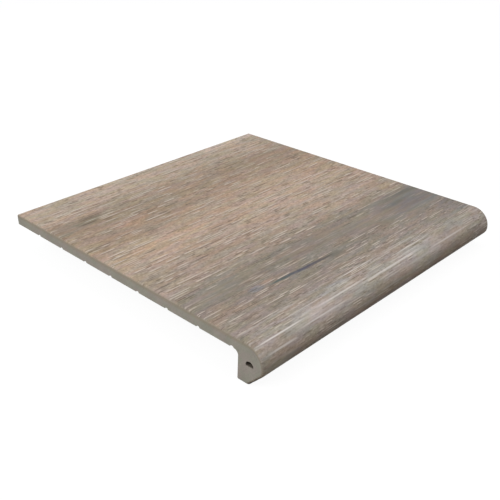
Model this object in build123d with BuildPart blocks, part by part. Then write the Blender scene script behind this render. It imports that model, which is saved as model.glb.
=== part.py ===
# Stair tread tile with a bullnose front
#
# One fired piece with one section along its whole width: a flat plate, a thick rounded
# nose that hangs below the front edge, shallow grooves across the bedding side and a
# narrow channel through the nose.
#
# Frame: +X along the nose, +Y from the nose to the back edge, +Z up. The origin is under
# the middle of the tile, level with the bottom of the nose. Sizes are in millimetres.

import os
from math import radians, tan

from build123d import *

# Overall sizes
tread_width = 330.0
tread_depth = 337.0
plate_thickness = 11.0
nose_height = 38.5

# Front of the nose, from the tread face downwards
bullnose_radius = 17.5
front_land = 0.5
front_radius = 10.0
undercut_angle = 45.0
toe_radius = 4.0

# Lip behind the nose, which hangs over the edge of the step
lip_thickness = 26.0
lip_draft = 3.0
heel_radius = 1.8
root_radius = 4.5

# Channel that runs through the nose
channel_width = 8.0
channel_wall = 2.6
channel_rise = 2.4
channel_corner = 0.6
channel_setback = 14.3
channel_depth = 20.5

# Grooves in the bedding side
groove_pitch = 38.0
groove_width = 4.0
groove_depth = 1.2
groove_flank = 60.0
root_land = 0.5
back_land = 12.0

# Rounded rim of the glazed face, at both ends and along the back
rim_radius = 2.0

# Levels and lines that follow from the sizes
nose_front = -tread_depth / 2
back_face = tread_depth / 2
underside = nose_height - plate_thickness
lip_top = nose_front + lip_thickness
lip_heel = lip_top + underside * tan(radians(lip_draft))
channel_middle = nose_front + channel_setback
channel_floor = nose_height - channel_depth
first_groove = lip_top + root_radius + root_land + groove_width / 2
last_groove = back_face - back_land - groove_width / 2
groove_count = int((last_groove - first_groove) // groove_pitch) + 1

end_plane = Plane.YZ.offset(-tread_width / 2)

with BuildPart() as tread_tile:
    # Bullnose, undercut and sole, on a block as thick as the nose
    with BuildSketch(end_plane):
        with BuildLine():
            back = Line((back_face, 0), (back_face, nose_height))
            top = Line(back @ 1, (nose_front + bullnose_radius, nose_height))
            bullnose = JernArc(top @ 1, top % 1, bullnose_radius, 90)
            front = PolarLine(bullnose @ 1, front_land, direction=bullnose % 1)
            turn = JernArc(front @ 1, front % 1, front_radius, undercut_angle)
            undercut = PolarLine(
                turn @ 1,
                (turn @ 1).Y,
                direction=turn % 1,
                length_mode=LengthMode.VERTICAL,
            )
            Line(undercut @ 1, back @ 0)
        make_face()
    extrude(amount=tread_width)
    toe = edges().filter_by(Axis.X).group_by(Axis.Z)[0].sort_by(Axis.Y)[0]
    fillet(toe, toe_radius)

    # The glaze rolls over a rounded rim at both ends and along the back
    face_edges = edges().group_by(Axis.Z)[-1]
    fillet(face_edges.filter_by(Axis.Y) + face_edges.sort_by(Axis.Y)[-1:], rim_radius)

    # The step takes its place under the plate and behind the lip
    with BuildSketch(end_plane):
        with BuildLine():
            heel = (lip_heel, 0)
            root = (lip_top, underside)
            plate_foot = (back_face, underside)
            block_top = ((back_face, nose_height), (nose_front, nose_height))
            Polyline(heel, root, plate_foot, *block_top, (nose_front, 0), close=True)
        make_face()
        fillet(vertices().sort_by_distance(heel)[0], heel_radius)
        fillet(vertices().sort_by_distance(root)[0], root_radius)
    extrude(amount=tread_width, mode=Mode.INTERSECT)

    # Channel with a flat floor and an arched roof
    with BuildSketch(end_plane):
        with BuildLine():
            floor = Line(
                (channel_middle - channel_width / 2, channel_floor),
                (channel_middle + channel_width / 2, channel_floor),
            )
            near_wall = Line(floor @ 0, floor @ 0 + (0, channel_wall))
            far_wall = Line(floor @ 1, floor @ 1 + (0, channel_wall))
            crown = (channel_middle, channel_floor + channel_wall + channel_rise)
            ThreePointArc(near_wall @ 1, crown, far_wall @ 1)
        make_face()
        fillet(vertices().group_by(Axis.Y)[0], channel_corner)
    extrude(amount=tread_width, mode=Mode.SUBTRACT)

    # Shallow grooves that key the bedding side into its adhesive
    with BuildSketch(end_plane):
        groove_places = [
            (first_groove + step * groove_pitch, underside) for step in range(groove_count)
        ]
        with Locations(groove_places):
            Trapezoid(
                groove_width,
                groove_depth,
                groove_flank,
                align=(Align.CENTER, Align.MIN),
            )
    extrude(amount=tread_width, mode=Mode.SUBTRACT)

tread_tile.part.label = "tread_tile"
os.makedirs("parts", exist_ok=True)
export_step(tread_tile.part, "parts/tread_tile.step")
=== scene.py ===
from math import asin, cos, degrees, pi, radians, sin, tan

import bpy
from mathutils import Matrix, Vector


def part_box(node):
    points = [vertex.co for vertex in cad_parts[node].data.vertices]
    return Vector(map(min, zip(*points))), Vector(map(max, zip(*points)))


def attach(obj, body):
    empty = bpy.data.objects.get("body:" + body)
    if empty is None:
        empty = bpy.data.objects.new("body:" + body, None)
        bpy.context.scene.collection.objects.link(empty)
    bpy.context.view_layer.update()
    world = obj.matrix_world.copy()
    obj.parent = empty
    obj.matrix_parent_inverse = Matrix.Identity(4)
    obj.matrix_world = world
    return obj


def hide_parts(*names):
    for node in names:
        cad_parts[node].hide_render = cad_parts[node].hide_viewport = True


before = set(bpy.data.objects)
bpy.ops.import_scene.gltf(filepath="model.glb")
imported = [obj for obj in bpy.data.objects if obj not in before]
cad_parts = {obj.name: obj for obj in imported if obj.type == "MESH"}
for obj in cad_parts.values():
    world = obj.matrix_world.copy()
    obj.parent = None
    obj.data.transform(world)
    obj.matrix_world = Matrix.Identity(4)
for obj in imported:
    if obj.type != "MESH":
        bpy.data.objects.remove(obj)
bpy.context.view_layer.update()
tileLow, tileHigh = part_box("tread_tile")
mm = 0.001
print("frame loaded")

# The tread tile, in millimetres and degrees: what a user would change
tile = {
    "plateThickness": 11.0,
    "bullnoseRadius": 17.5,
    "frontLand": 0.5,
    "frontRadius": 10.0,
    "undercutAngle": 45.0,
    "toeRadius": 4.0,
    "lipThickness": 26.0,
    "lipDraft": 3.0,
    "heelRadius": 1.8,
    "rootRadius": 4.5,
    "channelWidth": 8.0,
    "channelWall": 2.6,
    "channelRise": 2.4,
    "channelCorner": 0.6,
    "channelSetback": 14.3,
    "channelDepth": 20.5,
    "groovePitch": 38.0,
    "grooveWidth": 4.0,
    "grooveDepth": 1.2,
    "grooveFlank": 60.0,
    "rootLand": 0.5,
    "backLand": 12.0,
    "rimRadius": 2.0,
    "faceStep": 0.5,       # between rows on the glazed face
    "bodyStep": 5.0,       # between rows on the unglazed body
    "columns": 109,
    "rimSteps": 6,
    "arcSteps": 4,         # at least, on any arc of the section
    "waveDepth": 0.08,     # relief of the glazed face
    "dashDepth": 0.05,
    "creaseAngle": 32.0,   # edges that turn more stay sharp
    "mergeDistance": 0.005,
}

# The wood grain that relief and colour share, in millimetres
grain = {
    # dashes: length, pitch, seed, noise where they start and peak, times shorter at the front
    "fibre": (20.0, 2.7, 7.7, 0.51, 0.63, 1.5),   # pale lines
    "pore": (13.0, 2.3, 4.2, 0.51, 0.64, 1.4),    # dark lines of their own
    "rowStep": 7.31,          # from row to row in the noise, so that no row repeats
    "rowEdge": (0.5, 0.15),   # shares of the pitch off the middle where a dash ends and is full
    # a pale fibre and the dark line beside it are painted highlight and painted shade on the flanks
    # of the embossed grain, over the print
    "pairGap": 1.4,           # from a pale line to the dark one beside it
    "pairShare": 0.75,
    "frontReach": 75.0,       # rows lie closer together from here to the front
    "frontSqueeze": 0.4,
    # noises: cell length, cell width, seed
    "paleCluster": (55.0, 8.0, 3.1),
    "darkCluster": (55.0, 8.0, 6.4),
    "clusterRange": (0.39, 0.6, 0.05),   # noise outside and inside, share of dashes outside
    "swayNoise": (120.0, 40.0, 0.4),
    "sway": 1.6,
    "waveNoise": (90.0, 6.0, 5.3),
    "waveRange": (0.3, 0.7),
}


# Node helpers, for shader trees and geometry trees alike

def feed(tree, socket, value):
    if isinstance(value, bpy.types.NodeSocket):
        tree.links.new(value, socket)
    else:
        socket.default_value = value


def addNode(tree, kind, inputs=None, **settings):
    node = tree.nodes.new(kind)
    for name, value in settings.items():
        setattr(node, name, value)
    for name, value in (inputs or {}).items():
        feed(tree, node.inputs[name], value)
    return node


def calc(tree, operation, *values):
    node = addNode(tree, "ShaderNodeMath", operation=operation)
    for socket, value in zip(node.inputs, values):
        feed(tree, socket, value)
    return node.outputs[0]


def scaleVector(tree, vector, factor):
    node = addNode(tree, "ShaderNodeVectorMath", operation="SCALE")
    feed(tree, node.inputs[0], vector)
    feed(tree, node.inputs["Scale"], factor)
    return node.outputs[0]


def moveVector(tree, vector, step, operation="ADD"):
    node = addNode(tree, "ShaderNodeVectorMath", operation=operation)
    feed(tree, node.inputs[0], vector)
    feed(tree, node.inputs[1], step)
    return node.outputs[0]


def joinXyz(tree, x=0.0, y=0.0, z=0.0):
    return addNode(tree, "ShaderNodeCombineXYZ", {"X": x, "Y": y, "Z": z}).outputs[0]


def splitXyz(tree, vector):
    return list(addNode(tree, "ShaderNodeSeparateXYZ", {"Vector": vector}).outputs)


def remap(tree, value, low, high, toLow=0.0, toHigh=1.0):
    limits = {"From Min": low, "From Max": high, "To Min": toLow, "To Max": toHigh}
    ramp = addNode(tree, "ShaderNodeMapRange", limits, interpolation_type="SMOOTHSTEP")
    feed(tree, ramp.inputs["Value"], value)
    return ramp.outputs["Result"]


def grainNoise(tree, along, across, length, width, seed, detail=2.0):
    # noise drawn out along the grain, with cells of length by width
    x = calc(tree, "DIVIDE", along, length)
    y = calc(tree, "DIVIDE", across, width)
    look = {"Vector": joinXyz(tree, x, y, seed), "Scale": 1.0, "Detail": detail}
    return addNode(tree, "ShaderNodeTexNoise", look).outputs[0]


def swayed(tree, along, across):
    # rows that run almost straight, with a slow sway, and closer together at the front
    sway = grainNoise(tree, along, across, *grain["swayNoise"])
    rows = calc(tree, "MULTIPLY_ADD", sway, 2 * grain["sway"], across)
    front = calc(tree, "MAXIMUM", calc(tree, "SUBTRACT", grain["frontReach"], across), 0.0)
    return calc(tree, "MULTIPLY_ADD", front, -grain["frontSqueeze"], rows)


def rowedDashes(tree, along, across, size):
    # thin straight dashes in rows of one pitch, each row on its own, soft across
    length, pitch, seed, low, high, shorter = size
    row = calc(tree, "DIVIDE", across, pitch)
    number = calc(tree, "FLOOR", row)
    offset = calc(tree, "SUBTRACT", calc(tree, "SUBTRACT", row, number), 0.5)
    place = calc(tree, "MULTIPLY", number, pitch)
    squeeze = remap(tree, place, grain["frontReach"], 0.0, 1 / length, shorter / length)
    run = calc(tree, "MULTIPLY", along, squeeze)
    spot = joinXyz(tree, run, calc(tree, "MULTIPLY", number, grain["rowStep"]), seed)
    look = {"Vector": spot, "Scale": 1.0, "Detail": 1.0}
    noise = addNode(tree, "ShaderNodeTexNoise", look).outputs[0]
    inRow = remap(tree, calc(tree, "ABSOLUTE", offset), *grain["rowEdge"])
    return calc(tree, "MULTIPLY", remap(tree, noise, low, high), inRow)


def clustered(tree, along, across, noise):
    # 1 inside the clusters that the dashes gather in, and little outside them
    outside, inside, share = grain["clusterRange"]
    return remap(tree, grainNoise(tree, along, across, *noise), outside, inside, share, 1.0)


def dashFields(tree, along, across):
    # pale fibres with a dark line beside each, and dark pores, all gathered in clusters; a fibre and
    # the dark line beside it are printed grain painted as the lit and shaded flanks of an emboss:
    # painted highlight and painted shade
    cluster = clustered(tree, along, across, grain["paleCluster"])
    other = clustered(tree, along, across, grain["darkCluster"])
    rows = swayed(tree, along, across)
    beside = calc(tree, "ADD", rows, grain["pairGap"])
    light = calc(tree, "MULTIPLY", rowedDashes(tree, along, rows, grain["fibre"]), cluster)
    edge = calc(tree, "MULTIPLY", rowedDashes(tree, along, beside, grain["fibre"]), cluster)
    pores = calc(tree, "MULTIPLY", rowedDashes(tree, along, rows, grain["pore"]), other)
    dark = calc(tree, "MAXIMUM", calc(tree, "MULTIPLY", edge, grain["pairShare"]), pores)
    return light, dark


# Section of the tile, walked once round by a pen that keeps the solid on its left

def startPen(y, z, heading):
    return {"y": y, "z": z, "heading": heading, "travel": 0.0, "stops": []}


def dropStop(pen, facts):
    side = radians(pen["heading"] - 90)
    place = {"y": pen["y"], "z": pen["z"], "outY": cos(side), "outZ": sin(side)}
    pen["stops"].append(place | {"travel": pen["travel"]} | facts)


def movePen(pen, length):
    pen["y"] += length * cos(radians(pen["heading"]))
    pen["z"] += length * sin(radians(pen["heading"]))


def drawLine(pen, length, spacing, facts):
    steps = max(1, round(length / spacing))
    for _ in range(steps):
        dropStop(pen, facts)
        movePen(pen, length / steps)
        pen["travel"] += length / steps


def drawArc(pen, radius, turn, spacing, facts):
    length = radius * radians(abs(turn))
    steps = max(tile["arcSteps"], round(length / spacing))
    chord = 2 * radius * sin(length / radius / steps / 2)
    for _ in range(steps):
        dropStop(pen, facts)
        pen["heading"] += turn / steps / 2
        movePen(pen, chord)
        pen["heading"] += turn / steps / 2
        pen["travel"] += length / steps


def walkOutline(height, depth):
    # from the lower back edge over the tread face to the nose, and back under the plate
    fine, coarse = tile["faceStep"], tile["bodyStep"]
    bare = {"glazed": 0.0, "inset": 0.0}
    covered = {"glazed": 1.0, "inset": 1.0}
    pen = startPen(depth / 2, height - tile["plateThickness"], 90)
    drawLine(pen, tile["plateThickness"] - tile["rimRadius"], coarse, bare)
    drawArc(pen, tile["rimRadius"], 90, fine, {"glazed": 1.0, "inset": 0.0})
    faceStart = pen["travel"]
    drawLine(pen, depth - tile["rimRadius"] - tile["bullnoseRadius"], fine, covered)
    drawArc(pen, tile["bullnoseRadius"], 90, fine, covered)
    drawLine(pen, tile["frontLand"], fine, covered)
    drawArc(pen, tile["frontRadius"], tile["undercutAngle"], fine, covered)
    toeRun = tile["toeRadius"] * tan(radians(tile["undercutAngle"]) / 2)
    drawLine(pen, pen["z"] / sin(radians(tile["undercutAngle"])) - toeRun, 2 * fine, covered)
    drawArc(pen, tile["toeRadius"], tile["undercutAngle"], fine, covered)
    glazeEnd = pen["travel"]
    drawLip(pen, height, depth, bare)
    drawGrooves(pen, depth, bare)
    dropStop(pen, bare)
    return pen["stops"], faceStart, glazeEnd


def drawLip(pen, height, depth, facts):
    # sole, heel, the back of the lip and its root under the plate
    rise = height - tile["plateThickness"]
    draft = radians(tile["lipDraft"])
    lipTurn = 90 + tile["lipDraft"]
    heel = tile["lipThickness"] - depth / 2 + rise * tan(draft)
    halfTurn = tan(radians(lipTurn) / 2)
    heelRun = tile["heelRadius"] * halfTurn
    rootRun = tile["rootRadius"] * halfTurn
    drawLine(pen, heel - heelRun - pen["y"], tile["bodyStep"], {"glazed": 0.0, "inset": 1.0})
    drawArc(pen, tile["heelRadius"], lipTurn, tile["faceStep"], facts)
    drawLine(pen, rise / cos(draft) - heelRun - rootRun, tile["bodyStep"], facts)
    drawArc(pen, tile["rootRadius"], -lipTurn, 2 * tile["faceStep"], facts)


def drawGrooves(pen, depth, facts):
    # the bedding side, from the root to the back edge
    slope, width = radians(tile["grooveFlank"]), tile["grooveWidth"]
    flank = tile["grooveDepth"] / sin(slope)
    roof = width - 2 * tile["grooveDepth"] / tan(slope)
    start = tile["lipThickness"] - depth / 2 + tile["rootRadius"] + tile["rootLand"]
    while start <= depth / 2 - tile["backLand"] - width:
        drawLine(pen, start - pen["y"], 2 * tile["bodyStep"], facts)
        for heading, length in ((degrees(slope), flank), (0, roof), (-degrees(slope), flank)):
            pen["heading"] = heading
            drawLine(pen, length, tile["bodyStep"], facts)
        pen["heading"] = 0
        start += tile["groovePitch"]
    drawLine(pen, depth / 2 - pen["y"], 2 * tile["bodyStep"], facts)


def walkChannel(height, depth):
    # walls, arched roof and flat floor of the channel through the nose
    bare = {"glazed": 0.0, "inset": 0.0}
    half, rise, corner = tile["channelWidth"] / 2, tile["channelRise"], tile["channelCorner"]
    roofRadius = (half**2 + rise**2) / (2 * rise)
    lean = degrees(asin(half / roofRadius))
    left = tile["channelSetback"] - depth / 2 - half
    pen = startPen(left, height - tile["channelDepth"] + corner, 90)
    drawLine(pen, tile["channelWall"] - corner, tile["bodyStep"], bare)
    pen["heading"] = lean
    drawArc(pen, roofRadius, -2 * lean, tile["faceStep"], bare)
    pen["heading"] = -90
    drawLine(pen, tile["channelWall"] - corner, tile["bodyStep"], bare)
    drawArc(pen, corner, -90, tile["faceStep"], bare)
    drawLine(pen, 2 * (half - corner), tile["bodyStep"], bare)
    drawArc(pen, corner, -90, tile["faceStep"], bare)
    dropStop(pen, bare)
    return pen["stops"]


def buildSection(name):
    # both outlines as one wire mesh at x = 0, with what the loft needs at each point
    depth = (tileHigh.y - tileLow.y) / mm
    height = (tileHigh.z - tileLow.z) / mm
    outline, faceStart, glazeEnd = walkOutline(height, depth)
    channel = walkChannel(height, depth)
    stops = outline + channel
    edges = [(i, i + 1) for i in range(len(stops) - 1) if i != len(outline) - 1]
    mesh = bpy.data.meshes.new(name)
    mesh.from_pydata([(0, stop["y"] * mm, stop["z"] * mm) for stop in stops], edges, [])
    faceBack = depth - tile["rimRadius"]
    columns = {
        "across": [faceBack - stop["travel"] + faceStart for stop in stops],
        "travel": [stop["travel"] for stop in stops],
        "glazed": [stop["glazed"] for stop in stops],
        "inset": [stop["inset"] for stop in stops],
        "hole": [0.0] * len(outline) + [1.0] * len(channel),
        "border": [borderShare(stop["travel"], faceStart, glazeEnd) for stop in stops],
    }
    for key, values in columns.items():
        mesh.attributes.new(key, "FLOAT", "POINT").data.foreach_set("value", values)
    outward = [value for stop in stops for value in (0.0, stop["outY"], stop["outZ"])]
    mesh.attributes.new("outward", "FLOAT_VECTOR", "POINT").data.foreach_set("vector", outward)
    lengths = {
        "Glaze Start": tile["plateThickness"] - tile["rimRadius"],
        "Glaze End": glazeEnd,
        "Outline Length": outline[-1]["travel"],
        "Hole Length": channel[-1]["travel"],
    }
    return mesh, lengths


def borderShare(travel, faceStart, glazeEnd):
    # 1 on the borders of the glaze, at the back rim and at the toe, and 0 away from them
    reach = tile["rimRadius"] * pi / 2
    back = (faceStart - travel) / reach
    toe = 1 - (glazeEnd - travel) / reach
    return min(1.0, max(0.0, back, toe))


# The loft: rows follow the section, columns run from end to end

loftInputs = {
    "Width": "NodeSocketFloat",
    "Height": "NodeSocketFloat",
    "Depth": "NodeSocketFloat",
    "Rim Radius": "NodeSocketFloat",
    "Columns": "NodeSocketInt",
    "Rim Steps": "NodeSocketInt",
    "Wave Depth": "NodeSocketFloat",
    "Dash Depth": "NodeSocketFloat",
    "Glaze Start": "NodeSocketFloat",
    "Glaze End": "NodeSocketFloat",
    "Outline Length": "NodeSocketFloat",
    "Hole Length": "NodeSocketFloat",
    "Crease Angle": "NodeSocketFloat",
    "Merge Distance": "NodeSocketFloat",
}

# Columns of the bake map, as shares of its width
bakeColumns = {
    "glaze": (0.004, 0.68),
    "body": (0.69, 0.87),
    "leftEnd": (0.876, 0.928),
    "rightEnd": (0.934, 0.986),
    "channel": (0.991, 0.997),
}
bakeRows = (0.004, 0.996)
bakeSlack = 4.0   # millimetres past the width, for the rounded rims laid flat


def newTree(name, inputs):
    tree = bpy.data.node_groups.new(name, "GeometryNodeTree")
    add = tree.interface.new_socket
    add(name="Geometry", in_out="INPUT", socket_type="NodeSocketGeometry")
    add(name="Geometry", in_out="OUTPUT", socket_type="NodeSocketGeometry")
    for label, kind in inputs.items():
        add(name=label, in_out="INPUT", socket_type=kind)
    return tree


def setInputs(modifier, values):
    sockets = modifier.node_group.interface.items_tree
    names = {s.name: s.identifier for s in sockets if s.in_out == "INPUT"}
    for label, value in values.items():
        modifier[names[label]] = value


def fieldOf(tree, name, kind="FLOAT"):
    reader = addNode(tree, "GeometryNodeInputNamedAttribute", {"Name": name}, data_type=kind)
    return reader.outputs["Attribute"]


def store(tree, geometry, name, value, kind, domain):
    wires = {"Geometry": geometry, "Name": name, "Value": value}
    settings = {"data_type": kind, "domain": domain}
    return addNode(tree, "GeometryNodeStoreNamedAttribute", wires, **settings).outputs[0]


def onDomain(tree, value, domain, kind="FLOAT"):
    field = addNode(tree, "GeometryNodeFieldOnDomain", data_type=kind, domain=domain)
    feed(tree, field.inputs["Value"], value)
    return field.outputs["Value"]


def setPosition(tree, geometry, place):
    wires = {"Geometry": geometry, "Position": place}
    return addNode(tree, "GeometryNodeSetPosition", wires).outputs[0]


def insetPlace(tree, given, place, outward, insetShare, inset):
    # a point of the section, drawn in by the rim and kept between the sole and the face
    drawnIn = scaleVector(tree, outward, calc(tree, "MULTIPLY", insetShare, inset))
    _, y, z = splitXyz(tree, moveVector(tree, place, drawnIn, "SUBTRACT"))
    ceiling = calc(tree, "SUBTRACT", given["Height"], inset)
    return y, calc(tree, "MAXIMUM", calc(tree, "MINIMUM", z, ceiling), inset)


def columnFields(tree, given, rows):
    # where each column of the grid stands, and how far the rim has turned there
    index = addNode(tree, "GeometryNodeInputIndex").outputs[0]
    column = calc(tree, "FLOOR", calc(tree, "DIVIDE", index, rows))
    row = calc(tree, "SUBTRACT", index, calc(tree, "MULTIPLY", column, rows))
    last = calc(tree, "SUBTRACT", given["Columns"], 1.0)
    half = calc(tree, "DIVIDE", last, 2.0)
    fromEnd = calc(tree, "MINIMUM", column, calc(tree, "SUBTRACT", last, column))
    rimPart = calc(tree, "MINIMUM", calc(tree, "DIVIDE", fromEnd, given["Rim Steps"]), 1.0)
    turnShare = calc(tree, "SUBTRACT", 1.0, rimPart)
    turn = calc(tree, "MULTIPLY", turnShare, pi / 2)
    inner = calc(tree, "MAXIMUM", calc(tree, "SUBTRACT", fromEnd, given["Rim Steps"]), 0.0)
    innerPart = calc(tree, "DIVIDE", inner, calc(tree, "SUBTRACT", half, given["Rim Steps"]))
    flatHalf = calc(tree, "SUBTRACT", calc(tree, "DIVIDE", given["Width"], 2.0), given["Rim Radius"])
    flatPart = calc(tree, "MULTIPLY", flatHalf, calc(tree, "SUBTRACT", 1.0, innerPart))
    side = calc(tree, "SIGN", calc(tree, "SUBTRACT", column, half))
    reach = calc(tree, "MULTIPLY_ADD", given["Rim Radius"], calc(tree, "SINE", turn), flatPart)
    rolled = calc(tree, "MULTIPLY_ADD", given["Rim Radius"], turn, flatPart)
    drop = calc(tree, "SUBTRACT", 1.0, calc(tree, "COSINE", turn))
    return {
        "row": row,
        "x": calc(tree, "MULTIPLY", side, reach),
        "along": calc(tree, "DIVIDE", calc(tree, "MULTIPLY", side, rolled), mm),
        "inset": calc(tree, "MULTIPLY", given["Rim Radius"], drop),
        "rimShare": turnShare,
    }


def bakeSpot(tree, column, x, y):
    # a place in one column of the bake map, from shares of that column
    left, right = bakeColumns[column]
    u = calc(tree, "MULTIPLY_ADD", x, right - left, left)
    v = calc(tree, "MULTIPLY_ADD", y, bakeRows[1] - bakeRows[0], bakeRows[0])
    return joinXyz(tree, u, v)


def mixVectors(tree, share, first, second):
    node = addNode(tree, "ShaderNodeMix", data_type="VECTOR")
    feed(tree, node.inputs[0], share)
    feed(tree, node.inputs[4], first)
    feed(tree, node.inputs[5], second)
    return node.outputs[1]


def buildLoft(tree, given, outline):
    rows = addNode(tree, "GeometryNodeAttributeDomainSize", {"Geometry": outline}).outputs[0]
    sheet = {"Size X": 1.0, "Size Y": 1.0, "Vertices X": given["Columns"], "Vertices Y": rows}
    grid = addNode(tree, "GeometryNodeMeshGrid", sheet).outputs["Mesh"]
    at = columnFields(tree, given, rows)

    def sample(field, kind="FLOAT"):
        pick = {"Geometry": outline, "Value": field, "Index": at["row"]}
        return addNode(tree, "GeometryNodeSampleIndex", pick, data_type=kind).outputs[0]

    position = addNode(tree, "GeometryNodeInputPosition").outputs[0]
    place = sample(position, "FLOAT_VECTOR")
    outward = sample(fieldOf(tree, "outward", "FLOAT_VECTOR"), "FLOAT_VECTOR")
    across, travel, glazed, insetShare, border = (
        sample(fieldOf(tree, name)) for name in ("across", "travel", "glazed", "inset", "border")
    )
    arris = calc(tree, "MAXIMUM", border, at["rimShare"])
    sunk = reliefDepth(tree, given, at["along"], across)
    clearOfRim = calc(tree, "MULTIPLY", glazed, calc(tree, "SUBTRACT", 1.0, arris))
    sunk = calc(tree, "MULTIPLY", sunk, clearOfRim)
    y, z = insetPlace(tree, given, place, outward, insetShare, at["inset"])
    relief = scaleVector(tree, outward, sunk)
    surface = moveVector(tree, joinXyz(tree, at["x"], y, z), relief, "SUBTRACT")
    loft = setPosition(tree, grid, surface)

    corner = onDomain(tree, joinXyz(tree, at["along"], across, arris), "POINT", "FLOAT_VECTOR")
    along, grainAcross, edge = splitXyz(tree, corner)
    loft = store(tree, loft, "grain", joinXyz(tree, along, grainAcross), "FLOAT2", "CORNER")
    loft = store(tree, loft, "arris", edge, "FLOAT", "CORNER")
    # a face is glazed where all its corners are
    glazedFace = calc(tree, "GREATER_THAN", onDomain(tree, glazed, "POINT"), 0.99)
    loft = store(tree, loft, "glazedFace", glazedFace, "FLOAT", "FACE")

    mapWidth = calc(tree, "ADD", calc(tree, "DIVIDE", given["Width"], mm), bakeSlack)
    share = calc(tree, "ADD", calc(tree, "DIVIDE", at["along"], mapWidth), 0.5)
    spots = onDomain(tree, joinXyz(tree, share, travel), "POINT", "FLOAT_VECTOR")
    share, travel, _ = splitXyz(tree, spots)
    glazeRun = calc(tree, "SUBTRACT", given["Glaze End"], given["Glaze Start"])
    glazeSpot = calc(tree, "DIVIDE", calc(tree, "SUBTRACT", travel, given["Glaze Start"]), glazeRun)
    bodyRun = calc(tree, "SUBTRACT", given["Outline Length"], glazeRun)
    past = calc(tree, "SUBTRACT", travel, given["Glaze End"])
    isBefore = calc(tree, "LESS_THAN", past, -0.001)
    wrap = calc(tree, "MULTIPLY", isBefore, given["Outline Length"])
    bodySpot = calc(tree, "DIVIDE", calc(tree, "ADD", past, wrap), bodyRun)
    isGlaze = fieldOf(tree, "glazedFace")
    spot = mixVectors(
        tree,
        isGlaze,
        bakeSpot(tree, "body", share, bodySpot),
        bakeSpot(tree, "glaze", share, glazeSpot),
    )
    loft = store(tree, loft, "OFBake", spot, "FLOAT2", "CORNER")
    smooth = {"Geometry": loft, "Shade Smooth": True}
    loft = addNode(tree, "GeometryNodeSetShadeSmooth", smooth).outputs[0]
    return addNode(tree, "GeometryNodeFlipFaces", {"Mesh": loft}).outputs[0]


def reliefDepth(tree, given, along, across):
    # how far the glaze sinks: slow waves along the grain, and the dark dashes
    wave = grainNoise(tree, along, across, *grain["waveNoise"])
    _, dark = dashFields(tree, along, across)
    waves = calc(tree, "MULTIPLY", remap(tree, wave, *grain["waveRange"]), given["Wave Depth"])
    return calc(tree, "MULTIPLY_ADD", dark, given["Dash Depth"], waves)


def buildEnds(tree, given, section):
    # flat ends with the channel's hole, filled from the section as the rim leaves it
    position = addNode(tree, "GeometryNodeInputPosition").outputs[0]
    outward = fieldOf(tree, "outward", "FLOAT_VECTOR")
    y, z = insetPlace(tree, given, position, outward, fieldOf(tree, "inset"), given["Rim Radius"])
    laid = setPosition(tree, section, joinXyz(tree, y, z))
    weld = {"Geometry": laid, "Distance": given["Merge Distance"]}
    laid = addNode(tree, "GeometryNodeMergeByDistance", weld).outputs[0]
    wire = addNode(tree, "GeometryNodeMeshToCurve", {"Mesh": laid}).outputs[0]
    filled = addNode(tree, "GeometryNodeFillCurve", {"Curve": wire}, mode="TRIANGLES").outputs[0]
    # laid flat, an end has its depth along x and its height along y
    depthAt, heightAt, _ = splitXyz(tree, position)
    depthShare = calc(tree, "ADD", calc(tree, "DIVIDE", depthAt, given["Depth"]), 0.5)
    heightShare = calc(tree, "DIVIDE", heightAt, given["Height"])
    ends = []
    for side, column in ((-1.0, "leftEnd"), (1.0, "rightEnd")):
        spot = bakeSpot(tree, column, heightShare, depthShare)
        flat = store(tree, filled, "OFBake", spot, "FLOAT2", "CORNER")
        x = calc(tree, "MULTIPLY", given["Width"], side / 2)
        end = setPosition(tree, flat, joinXyz(tree, x, depthAt, heightAt))
        smooth = {"Geometry": end, "Shade Smooth": False}
        end = addNode(tree, "GeometryNodeSetShadeSmooth", smooth).outputs[0]
        if side < 0:
            end = addNode(tree, "GeometryNodeFlipFaces", {"Mesh": end}).outputs[0]
        ends.append(end)
    return ends


def buildChannel(tree, given, hole):
    # the channel's wall, drawn out from one end to the other
    half = joinXyz(tree, calc(tree, "DIVIDE", given["Width"], 2.0))
    start = addNode(tree, "GeometryNodeSetPosition", {"Geometry": hole})
    feed(tree, start.inputs["Offset"], scaleVector(tree, half, -1.0))
    pull = {"Mesh": start.outputs[0], "Offset": scaleVector(tree, half, 2.0), "Offset Scale": 1.0}
    wall = addNode(tree, "GeometryNodeExtrudeMesh", pull, mode="EDGES").outputs["Mesh"]
    travel = calc(tree, "DIVIDE", fieldOf(tree, "travel"), given["Hole Length"])
    x = splitXyz(tree, addNode(tree, "GeometryNodeInputPosition").outputs[0])[0]
    endShare = calc(tree, "ADD", calc(tree, "DIVIDE", x, given["Width"]), 0.5)
    spot = onDomain(tree, bakeSpot(tree, "channel", travel, endShare), "POINT", "FLOAT_VECTOR")
    wall = store(tree, wall, "OFBake", spot, "FLOAT2", "CORNER")
    smooth = {"Geometry": wall, "Shade Smooth": True}
    wall = addNode(tree, "GeometryNodeSetShadeSmooth", smooth).outputs[0]
    return addNode(tree, "GeometryNodeFlipFaces", {"Mesh": wall}).outputs[0]


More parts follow.
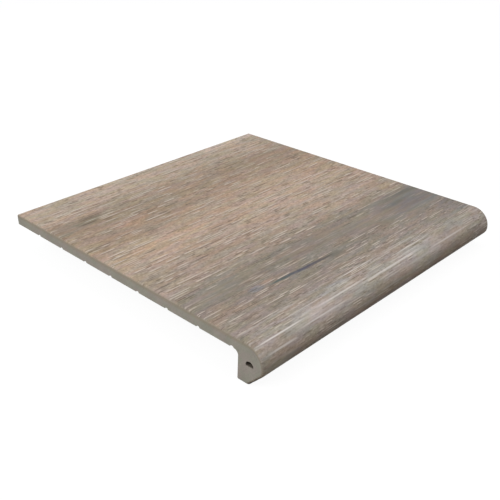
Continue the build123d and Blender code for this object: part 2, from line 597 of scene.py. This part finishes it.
def buildTileTree(glazeLook, bodyLook):
    tree = newTree("treadTileLoft", loftInputs)
    given = addNode(tree, "NodeGroupInput").outputs
    isHole = calc(tree, "GREATER_THAN", fieldOf(tree, "hole"), 0.5)
    wires = {"Geometry": given["Geometry"], "Selection": isHole}
    split = addNode(tree, "GeometryNodeSeparateGeometry", wires, domain="POINT")
    loft = buildLoft(tree, given, split.outputs["Inverted"])
    ends = buildEnds(tree, given, given["Geometry"])
    channel = buildChannel(tree, given, split.outputs["Selection"])
    join = addNode(tree, "GeometryNodeJoinGeometry")
    for shell in (loft, *ends, channel):
        tree.links.new(shell, join.inputs[0])
    weld = {"Geometry": join.outputs[0], "Distance": given["Merge Distance"]}
    shell = addNode(tree, "GeometryNodeMergeByDistance", weld).outputs[0]
    bend = addNode(tree, "GeometryNodeInputMeshEdgeAngle").outputs["Unsigned Angle"]
    soft = calc(tree, "LESS_THAN", bend, given["Crease Angle"])
    crease = {"Geometry": shell, "Shade Smooth": soft}
    shell = addNode(tree, "GeometryNodeSetShadeSmooth", crease, domain="EDGE").outputs[0]
    shell = addNode(tree, "GeometryNodeRealizeInstances", {"Geometry": shell}).outputs[0]
    painted = {"Geometry": shell, "Material": bodyLook}
    shell = addNode(tree, "GeometryNodeSetMaterial", painted).outputs[0]
    isGlazed = calc(tree, "GREATER_THAN", fieldOf(tree, "glazedFace"), 0.5)
    painted = {"Geometry": shell, "Selection": isGlazed, "Material": glazeLook}
    shell = addNode(tree, "GeometryNodeSetMaterial", painted).outputs[0]
    addNode(tree, "NodeGroupOutput", {"Geometry": shell})
    return tree


def buildTile(glazeLook, bodyLook):
    mesh, lengths = buildSection("tileSection")
    outline = bpy.data.objects.new("tileSection", mesh)
    scene.collection.objects.link(outline)
    loft = outline.modifiers.new("loft", "NODES")
    loft.node_group = buildTileTree(glazeLook, bodyLook)
    setInputs(loft, lengths | {
        "Width": tileHigh.x - tileLow.x,
        "Height": tileHigh.z - tileLow.z,
        "Depth": tileHigh.y - tileLow.y,
        "Rim Radius": tile["rimRadius"] * mm,
        "Columns": tile["columns"],
        "Rim Steps": tile["rimSteps"],
        "Wave Depth": tile["waveDepth"] * mm,
        "Dash Depth": tile["dashDepth"] * mm,
        "Crease Angle": radians(tile["creaseAngle"]),
        "Merge Distance": tile["mergeDistance"] * mm,
    })
    ready = outline.evaluated_get(bpy.context.evaluated_depsgraph_get())
    plain = bpy.data.meshes.new_from_object(ready)
    bpy.data.objects.remove(outline)
    plain.name = "treadTile"
    piece = bpy.data.objects.new("treadTile", plain)
    scene.collection.objects.link(piece)
    print("tile made", len(plain.vertices), "points", len(plain.polygons), "faces")
    return piece


# Shader helpers

tintRange = (0.38, 0.62)   # noise at which a tint is all the first or all the second


def toneOf(red, green, blue):
    # a colour as it is picked on screen, 0 to 255, in the shader's linear scale
    return [((part / 255 + 0.055) / 1.055) ** 2.4 for part in (red, green, blue)] + [1.0]


def newMaterial(name):
    material = bpy.data.materials.new(name)
    material.use_nodes = True
    material.node_tree.nodes.clear()
    return material, material.node_tree


def mixColour(tree, share, first, second, blend="MIX"):
    node = addNode(tree, "ShaderNodeMix", data_type="RGBA", blend_type=blend)
    feed(tree, node.inputs[0], share)
    feed(tree, node.inputs[6], first)
    feed(tree, node.inputs[7], second)
    return node.outputs[2]


def swing(tree, noise, reach):
    # noise turned into a factor that swings about 1 by reach each way
    return calc(tree, "MULTIPLY_ADD", noise, 4 * reach, 1 - 2 * reach)


def toneSwing(tree, noise, first, second):
    # factors for red, green and blue that go from one tint to the other
    share = remap(tree, noise, *tintRange)
    return mixColour(tree, share, (*first, 1), (*second, 1))


def finishMaterial(tree, colour, roughness, height, bumpDepth, specular):
    bump = {"Height": height, "Distance": bumpDepth, "Strength": 1.0}
    normal = addNode(tree, "ShaderNodeBump", bump).outputs[0]
    wires = {"Base Color": colour, "Roughness": roughness, "Normal": normal}
    shader = addNode(tree, "ShaderNodeBsdfPrincipled", wires)
    shader.inputs["Specular IOR Level"].default_value = specular
    addNode(tree, "ShaderNodeOutputMaterial", {"Surface": shader.outputs[0]})


# Glaze with a printed wood grain. Places are millimetres along the nose from the middle
# of the tile, and across it over the face, from low on the nose to the back edge. A noise
# is cell length, cell width, seed and detail, and a tone is a colour picked on screen.
glaze = {
    "bands": [
        # the lowest bands, from the toe up the front of the nose, are painted shade under the nose
        (-34, (64, 52, 44)),
        (-26, (92, 78, 68)),
        (-19, (124, 109, 97)),
        (-8, (156, 143, 132)),
        (3, (171, 161, 153)),
        (30, (153, 142, 133)),
        (72, (143, 133, 124)),
        (94, (146, 136, 126)),
        (110, (165, 150, 138)),
        (186, (183, 162, 145)),
        (225, (171, 151, 134)),
        (266, (163, 145, 129)),
        (318, (185, 168, 153)),
    ],
    "bandStart": -40.0,
    "bandEnd": 340.0,
    "wander": 7.0,         # how far the bands wander
    "wanderNoise": (60.0, 16.0, 1.3, 3.0),
    "wobble": 1.6,         # how ragged the patches are
    "wobbleNoise": (26.0, 7.0, 4.4, 3.0),
    "patchEdge": (1.2, 0.35),   # shares of a patch's size where it ends and where it is full
    "patches": [
        # along, across, half length, half width, tone, strength
        (-72, 252, 66, 46, (154, 138, 122), 0.4),
        (62, 160, 84, 54, (190, 170, 155), 0.45),
        (130, 332, 66, 10, (208, 194, 180), 0.55),
        # painted shade low on the front of the nose
        (96, -17, 66, 8, (108, 96, 84), 0.5),
        (-150, 270, 50, 14, (142, 130, 114), 0.7),
        (-124, 272, 19, 9, (132, 125, 110), 0.65),
        (78, 268, 60, 14, (152, 136, 118), 0.4),
        (-98, 240, 22, 10, (187, 156, 138), 0.7),
        (-140, 214, 44, 12, (160, 143, 124), 0.6),
        (-110, 186, 60, 9, (190, 160, 137), 0.5),
        (82, 214, 48, 14, (193, 170, 150), 0.7),
        (112, 137, 17, 8, (174, 159, 153), 0.6),
        (145, 114, 16, 6, (172, 158, 128), 0.6),
        (140, 74, 58, 26, (120, 119, 120), 0.6),
        (-92, 67, 10, 3, (172, 148, 137), 0.65),
        (-104, 65, 8, 4, (134, 134, 140), 0.6),
        (-150, 54, 34, 14, (164, 148, 134), 0.6),
        (-35, 52, 34, 7, (144, 136, 127), 0.4),
        (130, 30, 50, 16, (144, 138, 130), 0.5),
        (160, 46, 16, 34, (128, 125, 122), 0.6),
        # the next four pale patches, along the top of the bullnose, are painted sheen
        (-98, 10.5, 26, 5, (188, 181, 180), 0.55),
        (-70, 3, 30, 5, (188, 178, 170), 0.45),
        (-60, 21, 28, 5, (182, 176, 178), 0.45),
        (52, 8, 44, 5, (184, 178, 174), 0.4),
        (-150, -14, 24, 12, (172, 158, 141), 0.75),
        # painted shade low on the front of the nose
        (92, -17, 26, 5, (92, 80, 70), 0.4),
        (-164, 16, 7, 16, (136, 126, 112), 0.5),
    ],
    "quiet": [
        # along, across, half length, half width, share of the grain that fades
        (125, 74, 95, 30, 0.8),
        (-8, 82, 80, 14, 0.65),
        (-122, 84, 60, 13, 0.6),
        (110, 14, 60, 14, 0.5),
        (-140, 268, 42, 12, 0.5),
        (62, 262, 60, 10, 0.4),
        (-36, 44, 44, 8, 0.5),
        (-88, 6, 60, 11, 0.5),
        (40, -6, 110, 12, 0.5),
        (-148, -14, 26, 12, 0.6),
    ],
    "toeQuiet": (-26.0, -4.0, 0.35),   # from where to where the grain fades, and what is left
    # the widest pale lines, in the nose's tone; on the nose they are painted glints of light
    "streaks": [
        # along, across, half length, half width, strength
        (-136, 9.8, 36, 0.9, 0.9),
        (-92, 4.4, 36, 1.0, 0.6),
        (-58, 12, 40, 1.1, 0.65),
        (-100, 18.5, 40, 0.8, 0.45),
        (-123, 272.3, 10, 1.0, 0.4),
        (10, 9, 60, 1.3, 0.7),
        (48, 17, 34, 1.1, 0.6),
        (-20, 27, 38, 1.0, 0.55),
        (96, 4, 42, 1.1, 0.5),
        (-140, 0, 22, 1.2, 0.6),
    ],
    "streakEnds": 0.3,     # share of a streak that is full before it tapers
    "knotLines": [
        (-128, 268, 15, 1.5, 0.8),
        (-124, 277, 12, 1.4, 0.65),
        (-114, 283, 9, 1.2, 0.45),
        (-108, 264, 10, 1.2, 0.4),
    ],
    "crack": {
        "from": -100.0,
        "to": -6.0,
        "across": 59.8,
        "slope": -0.045,
        "halfWidth": 1.7,
        "tones": [
            (0.0, (104, 116, 106)),
            (0.25, (82, 94, 94)),
            (0.5, (84, 84, 102)),
            (1.0, (98, 94, 82)),
        ],
        "strength": 0.82,
        "sway": 2.0,
        "swayNoise": (14.0, 40.0, 9.2),
        "thinEnd": 0.3,    # share of its width at the ends
        "thinFrom": 0.4,   # shares of its half length where it begins to thin and to fade
        "fadeFrom": 0.7,
        "edge": (1.5, 0.4),
    },
    "crackEnd": (-10, 56, 17, 4.5, (116, 114, 104), 0.7),
    "tints": [
        # noise, and the factors for red, green and blue between which it swings
        ((34.0, 9.0, 8.8, 2.0), (0.96, 1.005, 0.965), (1.05, 0.995, 0.995)),
        ((26.0, 7.0, 2.1, 2.0), (0.98, 1.0, 1.05), (1.02, 1.0, 0.94)),
    ],
    "broadNoise": (60.0, 6.0, 2.6, 3.0),
    "broadMottle": 0.12,
    "fineNoise": (3.2, 1.6, 6.1, 1.0),
    "fineMottle": 0.05,
    # dashes as in the grain: length, pitch, seed, start, peak, times shorter at the front
    "tick": (4.2, 2.0, 2.9, 0.5, 0.62, 1.0),
    "darkTick": (3.4, 2.2, 5.9, 0.5, 0.62, 1.0),
    "tickStrength": 0.2,
    "longNoise": (90.0, 2.8, 14.7),
    "longStrength": 0.08,
    "paleDash": (216, 203, 190),
    "darkDash": (106, 93, 80),
    "paleStrength": 0.64,
    "darkStrength": 0.66,
    # long pale lines painted as glints of light on the glaze relief of the nose
    "noseGlintFibre": (42.0, 3.1, 11.5, 0.54, 0.64, 1.2),
    "noseGlintTone": (222, 215, 210),
    "noseGlintStrength": 0.32,
    "noseBack": (44.0, 20.0),      # the nose's own lines fade in over these two reaches
    "noseFront": (-16.0, 2.0),
    "arrisTone": (164, 153, 137),
    "arrisNoise": (6.0, 3.0, 12.1),
    "arrisRagged": 0.9,
    "arrisRange": (0.75, 1.35),
    "roughness": 0.65,
    "roughSwing": 0.1,
    "poreRoughness": 0.12,
    "fineHeight": 0.35,    # of the fine noise, beside 1 for a dash
    "bumpDepth": 0.00012,
    "specular": 0.12,
}


def patchMask(tree, along, across, wobble, patch, strength):
    centre, middle, halfLength, halfWidth = patch
    x = calc(tree, "DIVIDE", calc(tree, "SUBTRACT", along, centre), halfLength)
    y = calc(tree, "DIVIDE", calc(tree, "SUBTRACT", across, middle), halfWidth)
    squares = calc(tree, "ADD", calc(tree, "POWER", x, 2.0), calc(tree, "POWER", y, 2.0))
    far = calc(tree, "ADD", calc(tree, "SQRT", squares), wobble)
    return remap(tree, far, *glaze["patchEdge"], 0.0, strength)


def crackMask(tree, along, across):
    # a thin dark line that tapers out at both ends, and how far along it a point is
    crack = glaze["crack"]
    middle = (crack["from"] + crack["to"]) / 2
    run = calc(tree, "SUBTRACT", along, middle)
    sway = grainNoise(tree, along, across, *crack["swayNoise"])
    line = calc(tree, "MULTIPLY_ADD", run, crack["slope"], crack["across"] - crack["sway"] / 2)
    line = calc(tree, "MULTIPLY_ADD", sway, crack["sway"], line)
    off = calc(tree, "ABSOLUTE", calc(tree, "SUBTRACT", across, line))
    reach = crack["to"] - middle
    far = calc(tree, "ABSOLUTE", run)
    taper = remap(tree, far, reach, crack["thinFrom"] * reach, crack["thinEnd"], 1.0)
    width = calc(tree, "MULTIPLY", taper, crack["halfWidth"])
    inside = remap(tree, calc(tree, "DIVIDE", off, width), *crack["edge"])
    ends = remap(tree, far, reach, crack["fadeFrom"] * reach)
    mask = calc(tree, "MULTIPLY", calc(tree, "MULTIPLY", inside, ends), crack["strength"])
    return mask, calc(tree, "MULTIPLY_ADD", run, 0.5 / reach, 0.5)


def streakMask(tree, along, across, streaks):
    # the widest lines of the grain, straight and tapered
    full = glaze["streakEnds"]
    total = 0.0
    for centre, middle, halfLength, halfWidth, strength in streaks:
        x = calc(tree, "ABSOLUTE", calc(tree, "SUBTRACT", along, centre))
        y = calc(tree, "ABSOLUTE", calc(tree, "SUBTRACT", across, middle))
        ends = remap(tree, x, halfLength, full * halfLength, 0.0, strength)
        mask = calc(tree, "MULTIPLY", ends, remap(tree, y, halfWidth, full * halfWidth))
        total = calc(tree, "MAXIMUM", total, mask)
    return total


def toneRamp(tree, value, stops):
    ramp = addNode(tree, "ShaderNodeValToRGB")
    feed(tree, ramp.inputs[0], value)
    elements = ramp.color_ramp.elements
    while len(elements) < len(stops):
        elements.new(0.5)
    for element, (place, tone) in zip(elements, stops):
        element.position = place
        element.color = toneOf(*tone)
    return ramp.outputs[0]


def bandedTone(tree, along, across, wobble):
    # the print's broad bands and the patches over them; the lowest bands, at the toe under the nose,
    # are painted shade
    wander = grainNoise(tree, along, across, *glaze["wanderNoise"])
    reach = 2 * glaze["wander"]
    line = calc(tree, "SUBTRACT", across, reach / 2 + glaze["bandStart"])
    run = glaze["bandEnd"] - glaze["bandStart"]
    share = calc(tree, "DIVIDE", calc(tree, "MULTIPLY_ADD", wander, reach, line), run)
    stops = [((place - glaze["bandStart"]) / run, tone) for place, tone in glaze["bands"]]
    colour = toneRamp(tree, share, stops)
    for *patch, tone, strength in glaze["patches"]:
        mask = patchMask(tree, along, across, wobble, patch, strength)
        colour = mixColour(tree, mask, colour, toneOf(*tone))
    return colour


def grainShare(tree, along, across, wobble):
    # how strongly the grain shows: less at the toe and in the quiet patches
    toe, face, left = glaze["toeQuiet"]
    loud = remap(tree, across, toe, face, left, 1.0)
    for *patch, strength in glaze["quiet"]:
        fade = patchMask(tree, along, across, wobble, patch, strength)
        loud = calc(tree, "MULTIPLY", loud, calc(tree, "SUBTRACT", 1.0, fade))
    return loud


def mottled(tree, colour, along, across, rows, fine, loud):
    # tints, mottles, short ticks and long soft lines
    for noise, first, second in glaze["tints"]:
        tint = toneSwing(tree, grainNoise(tree, along, across, *noise), first, second)
        colour = mixColour(tree, 1.0, colour, tint, "MULTIPLY")
    broad = grainNoise(tree, along, across, *glaze["broadNoise"])
    paleTicks = rowedDashes(tree, along, rows, glaze["tick"])
    darkTicks = rowedDashes(tree, along, rows, glaze["darkTick"])
    ticks = calc(tree, "MULTIPLY", calc(tree, "SUBTRACT", paleTicks, darkTicks), loud)
    shade = calc(tree, "MULTIPLY_ADD", ticks, glaze["tickStrength"], 1.0)
    streaky = grainNoise(tree, along, rows, *glaze["longNoise"])
    swings = ((broad, "broadMottle"), (fine, "fineMottle"), (streaky, "longStrength"))
    for noise, reach in swings:
        shade = calc(tree, "MULTIPLY", shade, swing(tree, noise, glaze[reach]))
    return scaleVector(tree, colour, shade)


def noseGlints(tree, along, across, rows, loud):
    # long pale lines painted as glints of light on the glaze relief of the nose, and its widest
    # streaks
    glinting = rowedDashes(tree, along, rows, glaze["noseGlintFibre"])
    fromBack = remap(tree, across, *glaze["noseBack"], 0.0, glaze["noseGlintStrength"])
    fromFront = remap(tree, across, *glaze["noseFront"])
    for share in (fromBack, fromFront, loud):
        glinting = calc(tree, "MULTIPLY", glinting, share)
    return calc(tree, "MAXIMUM", glinting, streakMask(tree, along, across, glaze["streaks"]))


def rimMask(tree, along, across):
    # the ragged border of the print, where the glaze thins over the rounded rim
    arris = addNode(tree, "ShaderNodeAttribute", attribute_name="arris").outputs["Fac"]
    ragged = grainNoise(tree, along, across, *glaze["arrisNoise"])
    edge = calc(tree, "MULTIPLY_ADD", ragged, glaze["arrisRagged"], arris)
    return remap(tree, edge, *glaze["arrisRange"])


def buildGlaze():
    material, tree = newMaterial("woodGrainGlaze")
    spot = addNode(tree, "ShaderNodeUVMap", uv_map="grain").outputs[0]
    along, across, _ = splitXyz(tree, spot)
    rows = swayed(tree, along, across)
    wobble = grainNoise(tree, along, across, *glaze["wobbleNoise"])
    wobble = calc(tree, "MULTIPLY", calc(tree, "SUBTRACT", wobble, 0.5), glaze["wobble"])
    fine = grainNoise(tree, along, across, *glaze["fineNoise"])
    loud = grainShare(tree, along, across, wobble)
    light, dark = (calc(tree, "MULTIPLY", dash, loud) for dash in dashFields(tree, along, across))
    crack, crackPlace = crackMask(tree, along, across)
    *endPatch, endTone, endStrength = glaze["crackEnd"]
    colour = bandedTone(tree, along, across, wobble)
    colour = mottled(tree, colour, along, across, rows, fine, loud)
    layers = [
        # the dark line beside each pale fibre is painted shade and the pale fibre painted highlight,
        # both over printed grain
        (calc(tree, "MULTIPLY", dark, glaze["darkStrength"]), toneOf(*glaze["darkDash"])),
        (calc(tree, "MULTIPLY", light, glaze["paleStrength"]), toneOf(*glaze["paleDash"])),
        (patchMask(tree, along, across, wobble, endPatch, endStrength), toneOf(*endTone)),
        (streakMask(tree, along, across, glaze["knotLines"]), toneOf(*glaze["darkDash"])),
        (noseGlints(tree, along, across, rows, loud), toneOf(*glaze["noseGlintTone"])),
        (crack, toneRamp(tree, crackPlace, glaze["crack"]["tones"])),
        (rimMask(tree, along, across), toneOf(*glaze["arrisTone"])),
    ]
    for mask, tone in layers:
        colour = mixColour(tree, mask, colour, tone)
    rough = calc(tree, "MULTIPLY", swing(tree, fine, glaze["roughSwing"]), glaze["roughness"])
    rough = calc(tree, "MULTIPLY_ADD", dark, glaze["poreRoughness"], rough)
    height = calc(tree, "MULTIPLY_ADD", fine, glaze["fineHeight"], light)
    for sunken in (dark, crack):
        height = calc(tree, "SUBTRACT", height, sunken)
    finishMaterial(tree, colour, rough, height, glaze["bumpDepth"], glaze["specular"])
    print("glaze made")
    return material


# Fired body of the cut ends, the bedding side and the channel, in millimetres. A noise is
# cell length and detail.
body = {
    "tone": (175, 169, 158),
    "upperTone": (171, 160, 143),
    "upperReach": 5.0,
    "tintNoise": (9.0, 2.0),
    "tints": ((0.975, 1.005, 0.965), (1.03, 0.99, 1.0)),
    "cloudNoise": (14.0, 3.0),
    "cloudSwing": 0.08,
    "speckNoise": (0.9, 2.0),
    "speckSwing": 0.06,
    "drawnNoise": (45.0, 1.4, 2.2),   # cell length, cell width and seed of lines along the piece
    "drawnSwing": 0.03,
    "specks": [
        # where a speck starts and peaks in the noise, and its tone
        (0.7, 0.78, (204, 197, 182)),
        (0.32, 0.24, (122, 114, 102)),
    ],
    "speckStrength": 0.6,
    # painted shade inside the channel
    "channelShadeTone": (88, 80, 68),
    "channelReach": 1.2,
    "channelShadeStrength": 0.9,
    "channelSlack": 0.2,
    "roughness": 0.82,
    "roughSwing": 0.05,
    "drawnHeight": 0.5,    # of the lines, beside 1 for a speck
    "bumpDepth": 0.00015,
    "specular": 0.3,
}


def channelShadeMask(tree, x, y, z):
    # painted shade on the channel's wall, darker from a little way in
    halfWidth = (tileHigh.x - tileLow.x) / mm / 2
    middleY = tileLow.y / mm + tile["channelSetback"]
    middleZ = (tileHigh.z - tileLow.z) / mm - tile["channelDepth"] + tile["channelWall"]
    offY = calc(tree, "ABSOLUTE", calc(tree, "SUBTRACT", y, middleY))
    offZ = calc(tree, "ABSOLUTE", calc(tree, "SUBTRACT", z, middleZ))
    reach = tile["channelWidth"] / 2 + body["channelSlack"]
    within = calc(tree, "LESS_THAN", calc(tree, "MAXIMUM", offY, offZ), reach)
    depth = calc(tree, "SUBTRACT", halfWidth, calc(tree, "ABSOLUTE", x))
    deep = remap(tree, depth, 0.0, body["channelReach"], 0.0, body["channelShadeStrength"])
    return calc(tree, "MULTIPLY", within, deep)


def buildBody():
    material, tree = newMaterial("firedBody")
    spot = addNode(tree, "ShaderNodeTexCoord").outputs["Object"]
    spot = scaleVector(tree, spot, 1 / mm)
    x, y, z = splitXyz(tree, spot)

    def solidNoise(length, detail):
        place = scaleVector(tree, spot, 1 / length)
        look = {"Vector": place, "Scale": 1.0, "Detail": detail}
        return addNode(tree, "ShaderNodeTexNoise", look).outputs[0]

    top = (tileHigh.z - tileLow.z) / mm
    upper = remap(tree, z, top - body["upperReach"], top - tile["rimRadius"])
    colour = mixColour(tree, upper, toneOf(*body["tone"]), toneOf(*body["upperTone"]))
    tint = toneSwing(tree, solidNoise(*body["tintNoise"]), *body["tints"])
    colour = mixColour(tree, 1.0, colour, tint, "MULTIPLY")
    cloud = solidNoise(*body["cloudNoise"])
    speck = solidNoise(*body["speckNoise"])
    drawn = grainNoise(tree, x, calc(tree, "ADD", y, z), *body["drawnNoise"])
    for noise, reach in ((cloud, "cloudSwing"), (speck, "speckSwing"), (drawn, "drawnSwing")):
        colour = scaleVector(tree, colour, swing(tree, noise, body[reach]))
    for low, high, tone in body["specks"]:
        mask = remap(tree, speck, low, high, 0.0, body["speckStrength"])
        colour = mixColour(tree, mask, colour, toneOf(*tone))
    # painted shade in the channel
    inside = channelShadeMask(tree, x, y, z)
    colour = mixColour(tree, inside, colour, toneOf(*body["channelShadeTone"]))
    rough = calc(tree, "MULTIPLY", swing(tree, speck, body["roughSwing"]), body["roughness"])
    height = calc(tree, "MULTIPLY_ADD", drawn, body["drawnHeight"], speck)
    finishMaterial(tree, colour, rough, height, body["bumpDepth"], body["specular"])
    print("body made")
    return material


# Stage: a pale floor, soft lamps and the camera. Places are metres in the tile's frame.
stage = {
    "floorSize": 8.0,
    "floorTone": 0.1,
    "floorShow": 0.94,
    "worldTone": 0.5,
    "lamps": [
        # name, place, size, watts
        ("leftLamp", (-1.2, 0.1, 1.1), 1.0, 10.0),
        ("frontLamp", (0.2, -0.8, 1.25), 1.0, 4.0),
        ("overLamp", (0.3, 0.5, 1.5), 1.0, 2.0),
    ],
    "cameraPlace": (-0.4898, -0.4733, 0.3621),
    "cameraYaw": 45.628,
    "cameraPitch": 28.249,
    "cameraRoll": -0.36,
    "cameraLens": 54.43,
    "cameraSensor": 36.0,
}


def seenWhite(tree, shade, show):
    # what the camera, reflections and glass see gets a share of plain white light added
    path = addNode(tree, "ShaderNodeLightPath").outputs
    seen = calc(tree, "MAXIMUM", path["Is Camera Ray"], path["Is Glossy Ray"])
    seen = calc(tree, "MAXIMUM", seen, path["Is Transmission Ray"])
    glow = addNode(tree, "ShaderNodeEmission", {"Strength": calc(tree, "MULTIPLY", seen, show)})
    return addNode(tree, "ShaderNodeAddShader", {0: shade, 1: glow.outputs[0]}).outputs[0]


def buildFloor():
    half = stage["floorSize"] / 2
    mesh = bpy.data.meshes.new("floor")
    corners = [(-half, -half, 0), (half, -half, 0), (half, half, 0), (-half, half, 0)]
    mesh.from_pydata(corners, [], [(0, 1, 2, 3)])
    material, tree = newMaterial("paleFloor")
    grey = [stage["floorTone"]] * 3 + [1.0]
    shade = addNode(tree, "ShaderNodeBsdfDiffuse", {"Color": grey}).outputs[0]
    surface = seenWhite(tree, shade, stage["floorShow"])
    addNode(tree, "ShaderNodeOutputMaterial", {"Surface": surface})
    mesh.materials.append(material)
    floor = bpy.data.objects.new("floor", mesh)
    scene.collection.objects.link(floor)
    return floor


def buildWorld():
    world = bpy.data.worlds.new("paleRoom")
    world.use_nodes = True
    tree = world.node_tree
    tree.nodes.clear()
    path = addNode(tree, "ShaderNodeLightPath").outputs
    seen = calc(tree, "MAXIMUM", path["Is Camera Ray"], path["Is Transmission Ray"])
    level = calc(tree, "MULTIPLY_ADD", seen, 1 - stage["worldTone"], stage["worldTone"])
    glow = addNode(tree, "ShaderNodeBackground", {"Color": (1, 1, 1, 1), "Strength": level})
    addNode(tree, "ShaderNodeOutputWorld", {"Surface": glow.outputs[0]})
    scene.world = world


def buildLamps():
    middle = Vector((0, 0, tileHigh.z))
    for name, place, size, watts in stage["lamps"]:
        lamp = bpy.data.lights.new(name, "AREA")
        lamp.shape = "DISK"
        lamp.size = size
        lamp.energy = watts
        holder = bpy.data.objects.new(name, lamp)
        holder.location = place
        holder.rotation_euler = (middle - Vector(place)).to_track_quat("-Z", "Y").to_euler()
        scene.collection.objects.link(holder)


def buildCamera():
    camera = bpy.data.cameras.new("photoCamera")
    camera.lens = stage["cameraLens"]
    camera.sensor_width = stage["cameraSensor"]
    holder = bpy.data.objects.new("photoCamera", camera)
    yaw = Matrix.Rotation(radians(-stage["cameraYaw"]), 4, "Z")
    pitch = Matrix.Rotation(radians(90 - stage["cameraPitch"]), 4, "X")
    roll = Matrix.Rotation(radians(stage["cameraRoll"]), 4, "Z")
    holder.matrix_world = Matrix.Translation(stage["cameraPlace"]) @ yaw @ pitch @ roll
    scene.collection.objects.link(holder)
    scene.camera = holder


scene = bpy.context.scene
scene.view_settings.view_transform = "Standard"
buildCamera()
treadTile = buildTile(buildGlaze(), buildBody())
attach(treadTile, "root")
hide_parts("tread_tile")
floor = buildFloor()
buildWorld()
buildLamps()
print("stage set")
